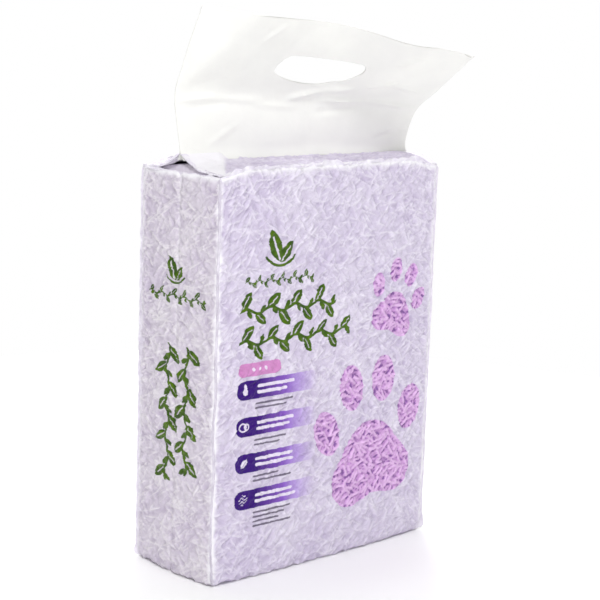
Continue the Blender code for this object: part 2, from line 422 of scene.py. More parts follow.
def paw(x, z, centre, size, angle=0.0):
    """A paw print: a rounded heel pad under four toes."""
    a, b = turned(x, z, centre, angle)
    a, b = a / size, b / size
    pad = circle(a, b, (0.0, -0.12), 0.30)
    pad = smooth_union(pad, circle(a, b, (-0.25, -0.28), 0.20), 0.14)
    pad = smooth_union(pad, circle(a, b, (0.25, -0.28), 0.20), 0.14)
    toes = [((-0.47, 0.19), 0.30), ((-0.18, 0.50), 0.10), ((0.18, 0.50), -0.10), ((0.47, 0.19), -0.30)]
    for place, lean in toes:
        pad = np.minimum(pad, ellipse(a, b, place, (0.13, 0.19), lean))
    return pad * size


BANNERS = (149.0, 120.5, 92.0, 63.5)  # heights of the purple banners' middles
BANNER_HALF = 7.4
BANNER_LEFT, BANNER_RIGHT = -95.0, -12.0
ICON_X = -86.5


def banner_icon(kind, x, z, centre):
    """A plain little sign on a banner: a drop, rings, a leaf or ripples."""
    if kind == 0:
        bead = circle(x, z, (centre[0], centre[1] - 1.2), 2.6)
        point = leaf(x, z, (centre[0], centre[1] - 3.0), 8.4, 3.0, math.pi / 2)
        return smooth_union(bead, point, 1.5)
    if kind == 1:
        large = np.abs(circle(x, z, (centre[0] - 1.6, centre[1]), 3.0))
        small = np.abs(circle(x, z, (centre[0] + 2.2, centre[1]), 2.2))
        return np.minimum(large, small) - 0.6
    if kind == 2:
        return veined_leaf(x, z, (centre[0] - 3.2, centre[1] - 3.2), 9.4, 4.6, math.pi / 4)
    ripple = np.abs(((z - centre[1] + 0.9 * np.sin((x - centre[0]) * 1.1)) + 20 * 2.6) % 2.6 - 1.3)
    return np.maximum(ripple - 0.5, circle(x, z, centre, 4.4))


def front_print(x, z):
    """Every printed shape and clear window of the front film, by the name of its ink."""
    far = np.full(x.shape, 50.0)
    green = emblem(x, z, (-55.0, 256.0), 30.0)
    green = np.minimum(green, vine(x, z, (-90.0, 231.0), 70.0, 8.5, 12, 3))
    green = np.minimum(green, vine(x, z, (-94.0, 209.0), 98.0, 21.0, 8, 5))
    green = np.minimum(green, vine(x, z, (-94.0, 185.0), 114.0, 21.0, 9, 8))
    pink = rounded_bar(x, z, (-73.0, 164.5), (20.5, 5.2), 3.6)
    purple, white, grey = far, far, far
    half = (BANNER_RIGHT - BANNER_LEFT) / 2
    for kind, middle in enumerate(BANNERS):
        banner = rounded_bar(x, z, (BANNER_LEFT + half, middle), (half, BANNER_HALF), 7.0)
        purple = np.minimum(purple, banner)
        white = np.minimum(white, banner_icon(kind, x, z, (ICON_X, middle)))
        for line, reach in ((2.4, 19.0), (-2.4, 15.0 + 2.0 * kind)):
            bar = rounded_bar(x, z, (-75.0 + reach, middle + line), (reach, 1.25), 1.2)
            white = np.minimum(white, bar)
        for line in range(2 + 2 * (kind == 3)):
            reach = 19.5 - 3.2 * ((line + kind) % 3)
            place = (-77.0 + reach, middle - 11.2 - 3.6 * line)
            grey = np.minimum(grey, rounded_bar(x, z, place, (reach, 0.75), 0.7))
    for spot in range(3):
        white = np.minimum(white, circle(x, z, (-79.0 + 6.0 * spot, 164.5), 1.5))
    window = paw(x, z, (48.0, 88.0), 100.0, 0.10)
    window = np.minimum(window, paw(x, z, (72.0, 200.0), 52.0, -0.32))
    return {"green": green, "pink": pink, "purple": purple, "white": white, "grey": grey, "window": window}


def side_print(across, z):
    """The gusset's print, with across growing towards the reader's right."""
    green = emblem(across, z, (-2.0, 237.0), 22.0)
    green = np.minimum(green, vine(across, z, (-35.0, 216.5), 69.0, 10.0, 10, 3))
    green = np.minimum(green, vine(180.0 - z, across, (0.0, 13.5), 100.0, 22.0, 7, 5))
    green = np.minimum(green, vine(180.0 - z, across, (0.0, -8.5), 108.0, 22.0, 8, 8))
    return {"green": green}


# Materials -------------------------------------------------


def linear(red, green, blue):
    """A display colour from 0 to 255, as the shaders want it."""
    values = np.array([red, green, blue]) / 255.0
    return (*np.where(values <= 0.04045, values / 12.92, ((values + 0.055) / 1.055) ** 2.4), 1.0)


class Shader:
    """A material's nodes, with short calls for the few kinds that the film needs."""

    def __init__(self, name):
        self.material = bpy.data.materials.new(name)
        self.material.use_nodes = True
        self.tree = self.material.node_tree
        self.surface = self.tree.nodes["Principled BSDF"]

    def node(self, kind, **settings):
        made = self.tree.nodes.new(kind)
        for key, value in settings.items():
            setattr(made, key, value)
        return made

    def link(self, output, socket):
        self.tree.links.new(output, socket)

    def attribute(self, name):
        return self.node("ShaderNodeAttribute", attribute_name=name).outputs["Fac"]

    def ranged(self, value, low, high, to_low=0.0, to_high=1.0):
        made = self.node("ShaderNodeMapRange")
        self.link(value, made.inputs["Value"])
        for socket, number in zip(("From Min", "From Max", "To Min", "To Max"), (low, high, to_low, to_high)):
            made.inputs[socket].default_value = number
        return made.outputs["Result"]

    def feed(self, value, socket):
        if isinstance(value, (tuple, int, float)):
            socket.default_value = value
        else:
            self.link(value, socket)

    def combined(self, operation, first, second):
        made = self.node("ShaderNodeMath", operation=operation)
        self.feed(first, made.inputs[0])
        self.feed(second, made.inputs[1])
        return made.outputs[0]

    def times(self, first, second):
        return self.combined("MULTIPLY", first, second)

    def plus(self, first, second):
        return self.combined("ADD", first, second)

    def mixed(self, share, first, second, blend="MIX"):
        made = self.node("ShaderNodeMix", data_type="RGBA", blend_type=blend)
        for place, value in ((0, share), (6, first), (7, second)):
            self.feed(value, made.inputs[place])
        return made.outputs[2]

    def noise(self, scale, detail=2.0):
        place = self.node("ShaderNodeTexCoord").outputs["Object"]
        made = self.node("ShaderNodeTexNoise")
        made.inputs["Scale"].default_value = scale
        made.inputs["Detail"].default_value = detail
        self.link(place, made.inputs["Vector"])
        return made.outputs[0]

    def cracks(self, scale):
        """Straight fine folds at random angles, as a height from 0 to 1."""
        place = self.node("ShaderNodeTexCoord").outputs["Object"]
        cells = self.node("ShaderNodeTexVoronoi", feature="DISTANCE_TO_EDGE")
        cells.inputs["Scale"].default_value = scale
        self.link(place, cells.inputs["Vector"])
        return self.ranged(cells.outputs["Distance"], 0.0, 0.14, 1.0, 0.0)

    def bump(self, height, distance, strength=1.0):
        made = self.node("ShaderNodeBump")
        made.inputs["Distance"].default_value = distance
        made.inputs["Strength"].default_value = strength
        self.link(height, made.inputs["Height"])
        self.link(made.outputs["Normal"], self.surface.inputs["Normal"])


# Painted shade for the dips of the film between pellets, then the film's plain lavender
FILM_VALLEY_SHADE = linear(178, 166, 194)
FILM_MIDDLE = linear(201, 191, 214)
# Painted highlight for the ridges of the film's creases
FILM_RIDGE_HIGHLIGHT = linear(228, 222, 236)
FILM_WHITE = linear(236, 234, 239)
GUSSET_TINT = linear(254, 255, 247)
# Pellets seen in the windows: painted shadow for the gaps between them, painted shade for their sides, then
# their tops
WINDOW_GAP_SHADOW = linear(132, 90, 156)
WINDOW_SIDE_SHADE = linear(196, 150, 206)
WINDOW_TOP = linear(224, 186, 230)
GREEN_INK = linear(76, 108, 0)
# Painted shade for the green ink where the film dips between pellets
GREEN_INK_SHADE = linear(46, 76, 0)
PINK_INK = linear(200, 124, 186)
PURPLE_INK = linear(50, 0, 112)
PURPLE_PALE = linear(152, 104, 208)
WHITE_INK = linear(232, 224, 240)
GREY_INK = linear(74, 66, 88)
PINCHED_DARK, PINCHED_PALE = linear(218, 212, 226), linear(234, 231, 238)
EDGE_DARK, EDGE_PALE = linear(204, 197, 212), linear(222, 217, 228)
HEADER_DARK, HEADER_PALE = linear(231, 231, 228), linear(237, 237, 233)
INK_EDGE = 0.22  # half the width of the blur at the edge of a printed shape, in millimetres
FILM_SPECULAR = 0.25


def film_base(shader, tint=None):
    """Colour of unprinted film: lavender on the pellets, darker with painted shade where it dips between
    them, paler with a painted highlight on its creases, and white where lifted.
    """
    relief = shader.attribute("relief")
    # Painted shade: darker where the film's relief dips between the pellets
    colour = shader.mixed(shader.ranged(relief, -0.9, 0.1), FILM_VALLEY_SHADE, FILM_MIDDLE)
    # Painted highlight: paler along the ridges of the creases
    colour = shader.mixed(shader.ranged(shader.attribute("ridge"), 0.2, 1.0, 0.0, 0.75), colour, FILM_RIDGE_HIGHLIGHT)
    patches = shader.ranged(shader.noise(34.0), 0.35, 0.7, 0.0, 0.25)
    colour = shader.mixed(patches, colour, FILM_WHITE)
    if tint:
        colour = shader.mixed(1.0, colour, tint, "MULTIPLY")
    return shader.mixed(shader.ranged(shader.attribute("lift"), 0.08, 0.75), colour, FILM_WHITE)


def coat(shader, colour, patch_scale, low, high):
    """Gives the surface its colour, a roughness that varies in patches, and the film's faint shine."""
    shader.link(colour, shader.surface.inputs["Base Color"])
    roughness = shader.ranged(shader.noise(patch_scale), 0.3, 0.7, low, high)
    shader.link(roughness, shader.surface.inputs["Roughness"])
    shader.surface.inputs["Specular IOR Level"].default_value = FILM_SPECULAR


def finish_film(shader, colour):
    """The coat and the fine folds that all of the film on the pellets has."""
    coat(shader, colour, 160.0, 0.30, 0.46)
    folds = shader.plus(shader.cracks(95.0), shader.times(shader.cracks(190.0), 0.5))
    folds = shader.times(folds, shader.ranged(shader.attribute("lift"), 0.2, 0.9, 1.0, 0.25))
    shader.bump(shader.plus(folds, shader.noise(700.0, 3.0)), 0.0003, 0.8)
    return shader.material


def inked(shader, colour, name, ink, share=1.0):
    edge = shader.ranged(shader.attribute(name), -INK_EDGE, INK_EDGE, 1.0, 0.0)
    return shader.mixed(shader.times(edge, share), colour, ink)


# The green ink, with painted shade where the film's relief dips between the pellets
def shaded_green_ink(shader):
    return shader.mixed(shader.ranged(shader.attribute("relief"), -0.5, 0.5), GREEN_INK_SHADE, GREEN_INK)


def grain_colour(shader, value):
    made = shader.node("ShaderNodeCombineColor")
    for socket in made.inputs:
        shader.link(value, socket)
    return made.outputs[0]


def front_material():
    shader = Shader("printed_front_film")
    colour = film_base(shader)
    depth = shader.attribute("depth")
    # Painted shade and shadow: the deeper a pellet lies under the film, the more it goes from its top colour
    # to the darker side colour and then to the dark of the gaps
    pellets = shader.mixed(shader.ranged(depth, 0.2, 1.8), WINDOW_TOP, WINDOW_SIDE_SHADE)
    pellets = shader.mixed(shader.ranged(depth, 1.9, 3.0), pellets, WINDOW_GAP_SHADOW)
    grain = shader.ranged(shader.noise(420.0, 3.0), 0.3, 0.7, 0.86, 1.06)
    pellets = shader.mixed(1.0, pellets, grain_colour(shader, grain), "MULTIPLY")
    colour = inked(shader, colour, "window", pellets)
    colour = inked(shader, colour, "green", shaded_green_ink(shader))
    colour = inked(shader, colour, "grey", GREY_INK, 0.85)
    colour = inked(shader, colour, "pink", PINK_INK, 0.9)
    across = shader.attribute("across")
    purple = shader.mixed(shader.ranged(across, -74.0, -34.0), PURPLE_INK, PURPLE_PALE)
    fade = shader.ranged(across, -46.0, -13.0, 1.0, 0.0)
    colour = inked(shader, colour, "purple", purple, fade)
    colour = inked(shader, colour, "white", WHITE_INK, 0.92)
    return finish_film(shader, colour)


def gusset_material():
    shader = Shader("printed_gusset_film")
    colour = film_base(shader, GUSSET_TINT)
    colour = inked(shader, colour, "green", shaded_green_ink(shader))
    return finish_film(shader, colour)


def plain_material():
    shader = Shader("plain_film")
    return finish_film(shader, film_base(shader))


def seam_material(name, dark, pale):
    """Film doubled and pinched together, which looks white."""
    shader = Shader(name)
    colour = shader.mixed(shader.ranged(shader.noise(150.0, 3.0), 0.35, 0.65), dark, pale)
    return finish_film(shader, colour)


def header_material():
    """Milky film with nothing behind it: a warm near white, slightly cloudy."""
    shader = Shader("header_film")
    cloudy = shader.ranged(shader.noise(26.0, 4.0), 0.35, 0.7)
    colour = shader.mixed(cloudy, HEADER_DARK, HEADER_PALE)
    coat(shader, colour, 70.0, 0.34, 0.5)
    shader.bump(shader.noise(240.0, 4.0), 0.0004, 0.4)
    return shader.material


# Panels ----------------------------------------------------


def pushed_out(base, height, axis, sign):
    """The points moved out along their normals, which point to the given side of an axis."""
    normals = grid_normals(base)
    middle = normals[base.shape[0] // 2, base.shape[1] // 2, axis]
    return base + normals * np.sign(middle * sign) * height[:, :, None]


def make_face(name, face, step, material, seed, printed):
    columns, rows = round(WIDTH / step) + 1, round((HEIGHT + TOP_EDGE_RISE) / step) + 1
    base = face_points(face, columns, rows)
    x, z = base[:, :, 0], base[:, :, 2] - FLOOR
    to_side = WIDTH / 2 - np.abs(x)
    to_top = top_edge_height(x) - z
    lift = edge_lift(to_side.clip(0), to_top.clip(0), 3.6 * MM, seed + 7)
    inks = front_print(x / MM, z / MM) if printed else {}
    window = smooth_step(0.4, -0.8, inks["window"]) if printed else None
    relief, attributes = film_relief(base.shape[:2], step, seed, lift, window)
    hold = smooth_step(0, 3.8 * MM, to_side) * smooth_step(0, 2.0 * MM, to_top) * smooth_step(0, 1.5 * MM, z)
    points = pushed_out(base, relief * hold, 1, face)
    attributes |= inks
    if printed:
        attributes["across"] = x / MM
    return grid_object(name, points, attributes, material, flip=face > 0)


POCKET_ROWS = 40


def pocket_floor(side, columns, rows):
    """The top of a gusset, folded inward under the roof to a point at mid depth."""
    y = np.linspace(-1, 1, columns)[None, :] * DEPTH / 2
    inward = np.linspace(0, 1, rows)[:, None]
    x = side * (WIDTH / 2 - inward * POCKET_REACH) + 0 * y
    gap = ROOF_RISE * (1 - np.abs(y) / (DEPTH / 2)) * mix(0.80, 0.68, smooth_step(-0.022, 0.004, y))
    z = FLOOR + HEIGHT + mix(gap * smooth_step(0.0, 0.09, inward), ROOF_RISE - 1.8 * MM, inward)
    return np.stack([x, y * (1 - 0.97 * inward), z], axis=2)


def make_side(name, side, step, material, seed):
    columns, rows = round(DEPTH / step) + 1, round(HEIGHT / step) + 1
    base = side_points(side, columns, rows)
    y, z = base[:, :, 1], base[:, :, 2] - FLOOR
    to_edge, to_top = DEPTH / 2 - np.abs(y), HEIGHT - z
    lift = edge_lift(to_edge.clip(0), to_top.clip(0), 3.2 * MM, seed + 7)
    crease = np.exp(-((y / (1.6 * MM)) ** 2)) * smooth_step(0.02, 0.3, z)
    lift = np.maximum(lift, 0.35 * crease)
    relief, attributes = film_relief(base.shape[:2], step, seed, lift)
    hold = smooth_step(0, 4.5 * MM, to_edge) * smooth_step(0, 3.0 * MM, to_top) * smooth_step(0, 1.5 * MM, z)
    points = pushed_out(base, relief * hold, 0, side)
    attributes |= side_print(side * y / MM, z / MM)
    floor = pocket_floor(side, columns, POCKET_ROWS)
    ripples = soft_noise(floor.shape[:2], 5, seed + 11) * 0.5 * MM
    inward = np.linspace(0, 1, POCKET_ROWS)[:, None]
    floor[:, :, 2] += ripples * inward * (1 - inward) * 4
    plain = {key: np.full(floor.shape[:2], 50.0) for key in attributes}
    plain |= {"relief": ripples / MM, "ridge": 0 * ripples, "depth": 0 * ripples, "lift": 0 * ripples + 0.1}
    vertices = np.concatenate([points.reshape(-1, 3), floor.reshape(-1, 3)])
    faces = np.concatenate([grid_faces(rows, columns), grid_faces(POCKET_ROWS, columns, rows * columns)])
    if side < 0:
        faces = faces[:, ::-1]
    joined = {key: np.concatenate([attributes[key].ravel(), plain[key].ravel()]) for key in attributes}
    return mesh_object(name, vertices, faces, joined, material)


def header_base(x):
    """Y of the header's foot on the ridge of the roof."""
    return -BASE_SHIFT_RIGHT * (x + WIDTH / 2) / WIDTH


WHITE_END_LEFT = 36 * MM  # how far in the white ends of the roof reach, along the header's foot
WHITE_END_RIGHT = 9 * MM
TENT_RISE = 5.0 * MM  # how far the left end runs up the header
SAG_LEFT = 2.2 * MM  # how far the roof's -X end sags between rim and ridge
SAG_RIGHT = -2.8 * MM  # its +X end is puffed up instead


def make_roof(name, face, step, material, seed):
    """Half of the low gable, from a pinched top edge to the foot of the header."""
    columns, rows = round(WIDTH / step) + 1, round(DEPTH / 2 / step) + 1
    x = np.linspace(-WIDTH / 2, WIDTH / 2, columns)[None, :]
    inward = np.linspace(0, 1, rows)[:, None]
    y = mix(face * DEPTH / 2 + 0 * x, header_base(x), inward)
    z = mix(top_edge_height(x), HEIGHT + ROOF_RISE + 0 * x, inward**0.9)
    base = np.stack([x + 0 * inward, y, FLOOR + z], axis=2)
    to_end = WIDTH / 2 - np.abs(base[:, :, 0])
    to_rim = np.minimum(inward, 1 - inward) * DEPTH / 2 + 0 * x
    reach = np.where(x < 0, WHITE_END_LEFT, WHITE_END_RIGHT)
    tent = smooth_step(1.15, 0.85, to_end / (5 * MM + reach * inward))
    lift = np.clip(edge_lift(to_end, to_rim, 3.0 * MM, seed + 7) + tent, 0, 1)
    relief, attributes = film_relief(base.shape[:2], step, seed, lift)
    folds = soft_noise(base.shape[:2], 11, seed + 20) * 1.0 * MM * tent
    rise = TENT_RISE * tent * inward**4 * (x < 0)
    hold = smooth_step(0, 3.0 * MM, to_rim)
    loose = smooth_step(0.055, 0.02, to_end)
    sag = np.where(x < 0, SAG_LEFT, SAG_RIGHT) * loose * np.sin(math.pi * inward) ** 1.2
    base[:, :, 2] += (relief * (1 - 0.5 * loose) + folds) * hold - sag + rise
    base[:, :, 1] += face * 0.5 * MM * tent * inward**4 - rise * np.sin(header_lean(base[:, :, 0], 0.0))
    return grid_object(name, base, attributes, material, flip=face < 0)


def make_base(name, material):
    """The flat bottom film, with the folded end seam lying across it."""
    columns, rows = 120, 50
    x = np.linspace(-1, 1, columns)[None, :] * (WIDTH / 2 - FOOT_ROUNDING)
    y = np.linspace(-1, 1, rows)[:, None] * (DEPTH / 2 - FOOT_ROUNDING)
    seam = np.exp(-((y / (5 * MM)) ** 8)) * 0.25 * MM + 0 * x
    z = FLOOR + 0.5 * MM - seam
    noise = soft_noise(z.shape, 5, 91)
    points = np.stack([x + 0 * y, y + 0 * x, z + 0.12 * MM * noise], axis=2)
    points[:, :, :2] *= 1.012  # so that its rim meets the rounded foot of the walls
    attributes = {"relief": noise * 0.5, "ridge": 0 * noise, "lift": 0.3 + 0 * noise}
    return grid_object(name, points, attributes, material, flip=True)


# Seams -----------------------------------------------------


def seam_strip(name, line, first, second, proud, material, seed, spread, crumple, plump=1.0):
    """A pinched fin along a line of points. first and second point along the two films beside it.

    proud is the fin's height, spread how far it lies on the films, crumple how much it wavers, and
    plump how thick it is.
    """
    count = len(line)
    outward = -(first + second)
    outward /= np.linalg.norm(outward, axis=1, keepdims=True)
    aside = first - second
    aside /= np.linalg.norm(aside, axis=1, keepdims=True)
    wide = 0.5 * line_noise(count, 6, seed) + 0.25 * line_noise(count, 2.2, seed + 1)
    wide = 1 + wide * np.minimum(crumple, 1.0)
    sway = 0.9 * line_noise(count, 5, seed + 2) + 0.5 * line_noise(count, 1.9, seed + 3)
    sway = (sway * crumple * MM)[:, None]
    tip = outward * (proud * wide)[:, None] + aside * sway
    skin = outward * 0.35 * MM
    half = aside * 0.38 * MM * np.reshape(plump, (-1, 1))
    profile = [
        line + first * (spread * wide[:, None]) - outward * 0.5 * MM,
        line + first * (spread * 0.45) + skin * 1.2,
        line + first * 0.9 * MM + outward * 0.5 * MM,
        line + tip * 0.6 + half,
        line + tip + half * 0.53,
        line + tip * 1.04,
        line + tip - half * 0.53,
        line + tip * 0.6 - half,
        line + second * 0.9 * MM + outward * 0.5 * MM,
        line + second * (spread * 0.45) + skin * 1.2,
        line + second * (spread * wide[:, None]) - outward * 0.5 * MM,
    ]
    points = np.stack(profile, axis=1)
    for end in (0, -1):
        points[end] = mix(line[end], points[end], 0.05)
    strip = grid_object(name, points, {}, material)
    smooth = strip.modifiers.new("Rounder", "SUBSURF")
    smooth.levels = smooth.render_levels = 1
    return strip


def repeated(vector, count):
    return np.tile(np.array(vector, float), (count, 1))


def make_corner_seam(name, side, face, material, seed):
    count = 230
    z = np.linspace(1.2 * MM, HEIGHT - 0.5 * MM, count)
    inset = foot_inset(z) * 0.7
    line = np.stack([side * (WIDTH / 2 - inset), face * (DEPTH / 2 - inset), FLOOR + z], axis=1)
    along_face = repeated((-side, 0.0, 0.0), count)
    along_side = repeated((0.0, -face, 0.0), count)
    foot = smooth_step(0.018, 0.004, z)
    proud, crumple = mix(0.9 * MM, 2.6 * MM, foot), 0.8 + 0.4 * foot
    wander = 0.5 * MM * line_noise(count, 22, seed + 9) * smooth_step(0.30, 0.15, z)
    line += (along_face - along_side) * wander[:, None]
    return seam_strip(name, line, along_face, along_side, proud, material, seed, 3.9 * MM, crumple, 0.6)


def make_top_seam(name, face, material, seed):
    """The wavy pinched edge between a large face and the roof."""
    count = 180
    x = np.linspace(-WIDTH / 2, WIDTH / 2, count)
    fade = smooth_step(1.5 * MM, 18 * MM, WIDTH / 2 - np.abs(x))
    wave = 1.1 * MM * line_noise(count, 9, seed + 5) * fade
    line = np.stack([x, face * (DEPTH / 2) + 0 * x, FLOOR + top_edge_height(x) + wave], axis=1)
    down = repeated((0.0, 0.0, -1.0), count)
    back = repeated((0.0, -face, 0.08), count)
    proud = mix(0.35 * MM, 2.3 * MM, fade)
    return seam_strip(name, line, down, back, proud, material, seed, 4.4 * MM, 2.0 * fade)


def make_side_lip(name, side, material, seed):
    """The fold at the top of a gusset, where it turns in under the roof."""
    count = 80
    y = np.linspace(-DEPTH / 2, DEPTH / 2, count)
    line = np.stack([side * (WIDTH / 2 - 0.6 * MM) + 0 * y, y, FLOOR + HEIGHT - 0.2 * MM + 0 * y], axis=1)
    down = repeated((0.0, 0.0, -1.0), count)
    inward = repeated((-side, 0.0, 0.1), count)
    puff = smooth_step(0.016, 0.034, y)
    proud = mix(0.9 * MM, 2.8 * MM, puff) * smooth_step(-1 * MM, 7 * MM, DEPTH / 2 - np.abs(y))
    return seam_strip(name, line, down, inward, proud, material, seed, 3.0 * MM, 0.6, 1 + 3.5 * puff)


def make_roof_end(name, side, face, material, seed):
    """The doubled film along one slope of a roof's open end."""
    count = 60
    share = np.linspace(0, 1, count)
    x = side * WIDTH / 2
    y = mix(face * DEPTH / 2, header_base(x), share)
    sag = (SAG_LEFT if side < 0 else SAG_RIGHT) * np.sin(math.pi * share) ** 1.2
    z = mix(HEIGHT + 0.8 * MM, HEIGHT + ROOF_RISE, share**0.9) - sag
    rise = TENT_RISE * share**4 * (side < 0)
    y = y - rise * np.sin(header_lean(x, 0.0)) + face * 0.5 * MM * share**4
    z = z + rise
    line = np.stack([np.full(count, x), y, FLOOR + z], axis=1)
    under = repeated((-side, 0.0, -0.22), count)
    over = repeated((-side, 0.0, 0.12), count)
    proud = (1.1 + 0.7 * face) * MM * smooth_step(-0.03, 0.2, share)
    return seam_strip(name, line, over, under, proud, material, seed, 3.6 * MM, 0.7, 2 + face)


# The header ------------------------------------------------


HEADER_CREASES = (  # ends on the flat film in millimetres, height, half width
    ((-15, 45), (12, 53), 1.0, 2.0),
    ((12, 53), (36, 58), 0.8, 2.2),
    ((12, 45), (56, 44), 0.8, 1.8),
    ((56, 44), (108, 40), 0.9, 2.0),
    ((50, 62), (66, 72), 0.9, 1.8),
    ((52, 92), (70, 104), 0.5, 2.2),
    ((-114, 45), (-84, 46), 0.9, 2.0),
    ((-84, 46), (-40, 43), 0.5, 2.4),
    ((-110, 38), (-72, 41), -0.6, 2.2),
    ((-46, 40), (-8, 38), 0.5, 2.0),
    ((-5, 60), (30, 62), -0.5, 2.4),
    ((60, 70), (104, 58), 0.7, 2.6),
    ((-92, 8), (-60, 26), 0.4, 2.4),
    ((10, 34), (48, 38), -0.5, 2.2),
    ((76, 12), (108, 20), -0.5, 2.2),
    ((-60, 96), (-48, 112), 0.4, 2.0),
)
CREASE_STRENGTH = 2.4  # all of those heights are multiplied by this


def header_lean(x, along):
    share = (x + WIDTH / 2) / WIDTH
    lower = mix(LOWER_LEAN_LEFT, LOWER_LEAN_RIGHT, share)
    upper = mix(UPPER_LEAN_LEFT, UPPER_LEAN_RIGHT, smooth_step(UPPER_LEAN_FROM, UPPER_LEAN_TO, x))
    crease = mix(CREASE_LEFT, CREASE_RIGHT, share)
    return mix(lower, upper, smooth_step(crease - CREASE_HALF_WIDTH, crease + CREASE_HALF_WIDTH, along))


def corner_lift(x, along):
    """How far the folded back corner stands behind the plane of the rest."""
    run = np.subtract(CORNER_CREASE_TOP, CORNER_CREASE_FOOT)
    length = math.hypot(*run)
    beyond = ((along - CORNER_CREASE_FOOT[1]) * run[0] - (x - CORNER_CREASE_FOOT[0]) * run[1]) / length
    softened = (beyond + np.hypot(beyond, CORNER_SOFTNESS)) / 2
    return np.where(beyond > -0.02, softened, 0) * math.sin(CORNER_FOLD) * smooth_step(0.030, 0.060, along)


def crease_relief(x, along):
    total = np.zeros_like(x)
    for (x0, a0), (x1, a1), height, wide in HEADER_CREASES:
        px, pa = x / MM - x0, along / MM - a0
        run = np.array([x1 - x0, a1 - a0], float)
        t = np.clip((px * run[0] + pa * run[1]) / (run @ run), 0, 1)
        distance = np.hypot(px - t * run[0], pa - t * run[1])
        taper = np.sin(math.pi * (0.12 + 0.76 * t))
        total += CREASE_STRENGTH * height * MM * np.exp(-((distance / wide) ** 2)) * taper
    return total


def ripple(x, along, seed):
    """Slow buckling of the loose film."""
    rng = np.random.default_rng(seed)
    total = np.zeros_like(x)
    for _ in range(9):
        ax, aa, phase = rng.uniform(-90, 90), rng.uniform(-110, 110), rng.uniform(0, 6.3)
        total += 0.26 * MM * np.sin(ax * x + aa * along + phase)
    return total


def header_points(flat, front):
    """The header's form, from points of the flat film and their distance in front of it."""
    x, along, through = flat.T
    y = header_base(x)
    z = np.full(len(x), HEIGHT + ROOF_RISE + FLOOR)
    for i in range(LEAN_STEPS):
        lean = header_lean(x, (i + 0.5) * along / LEAN_STEPS)
        y = y - np.sin(lean) * along / LEAN_STEPS
        z = z + np.cos(lean) * along / LEAN_STEPS
    lean = header_lean(x, along)
    behind = corner_lift(x, along) - through
    behind = behind - (crease_relief(x, along) + ripple(x, along, 17)) * smooth_step(0, 0.012, along)
    if not front:
        behind = behind + 0.5 * MM + ripple(x, along, 29) * 0.8 * smooth_step(0.02, 0.05, along)
    flare = 3.4 * MM * (1 - np.clip(along / 0.009, 0, 1)) ** 2 * (-1 if front else 1)
    return np.stack([x, y + behind * np.cos(lean) + flare, z + behind * np.sin(lean)], axis=1)


def evaluated_mesh(thing):
    bpy.context.view_layer.update()
    return bpy.data.meshes.new_from_object(thing.evaluated_get(bpy.context.evaluated_depsgraph_get()))


def hand_hole_outline():
    """The die cut hole on the flat film: a straight upper edge over a long curved lower one."""
    curve = bpy.data.curves.new("hand_hole_outline", "CURVE")
    curve.dimensions = "2D"
    curve.fill_mode = "BOTH"
    curve.extrude = 2 * MM
    curve.resolution_u = 14
    spline = curve.splines.new("BEZIER")
    knots = [
        ((-39.5, 70.0), (2.0, -4.0), (0.0, 6.0)),
        ((-28.5, 85.0), (-5.0, 0.0), (10.0, 0.0)),
        ((26.5, 84.8), (-10.0, 0.0), (5.0, 0.0)),
        ((34.0, 77.5), (0.0, 4.0), (0.0, -7.0)),
        ((-1.5, 57.8), (18.0, 0.0), (-18.0, 0.0)),
    ]
    spline.bezier_points.add(len(knots) - 1)
    for knot, (place, before, after) in zip(spline.bezier_points, knots):
        knot.co = (place[0] * MM, place[1] * MM, 0)
        knot.handle_left = ((place[0] + before[0]) * MM, (place[1] + before[1]) * MM, 0)
        knot.handle_right = ((place[0] + after[0]) * MM, (place[1] + after[1]) * MM, 0)
    spline.use_cyclic_u = True
    return curve


def hole_cutter():
    outline = placed("hole_outline", hand_hole_outline())
    mesh = evaluated_mesh(outline)
    bpy.data.objects.remove(outline)
    form = bmesh.new()
    form.from_mesh(mesh)
    bmesh.ops.remove_doubles(form, verts=form.verts, dist=0.00001)
    bmesh.ops.recalc_face_normals(form, faces=form.faces)
    form.to_mesh(mesh)
    form.free()
    return placed("hole_cutter", mesh)


def header_edges(flat, front):
    """Trims the flat sheet a little unevenly, as the cut film is, with a nick at the +X top corner."""
    x, along = flat[:, 0], flat[:, 1]
    share = along / HEADER_LENGTH
    narrow = 5.0 * MM * np.exp(-(((share - 0.25) / 0.20) ** 2)) * smooth_step(0.02, WIDTH / 2, x)
    x -= narrow
    top = smooth_step(0.8, 1.0, share)
    x -= 4.0 * MM * smooth_step(0.55, 1.0, share) * smooth_step(0.05, WIDTH / 2, x)
    along -= 3.0 * MM * top * smooth_step(0.07, WIDTH / 2, x)
    if front:
        along -= top * 4.0 * MM * smooth_step(0.094, 0.114, x)
    else:
        along += top * (1.6 * MM * smooth_step(-0.04, -0.11, x) - 1.5 * MM * smooth_step(0.06, 0.09, x))
        x += top * 1.2 * MM * smooth_step(0.0, 0.1, x)
    return flat


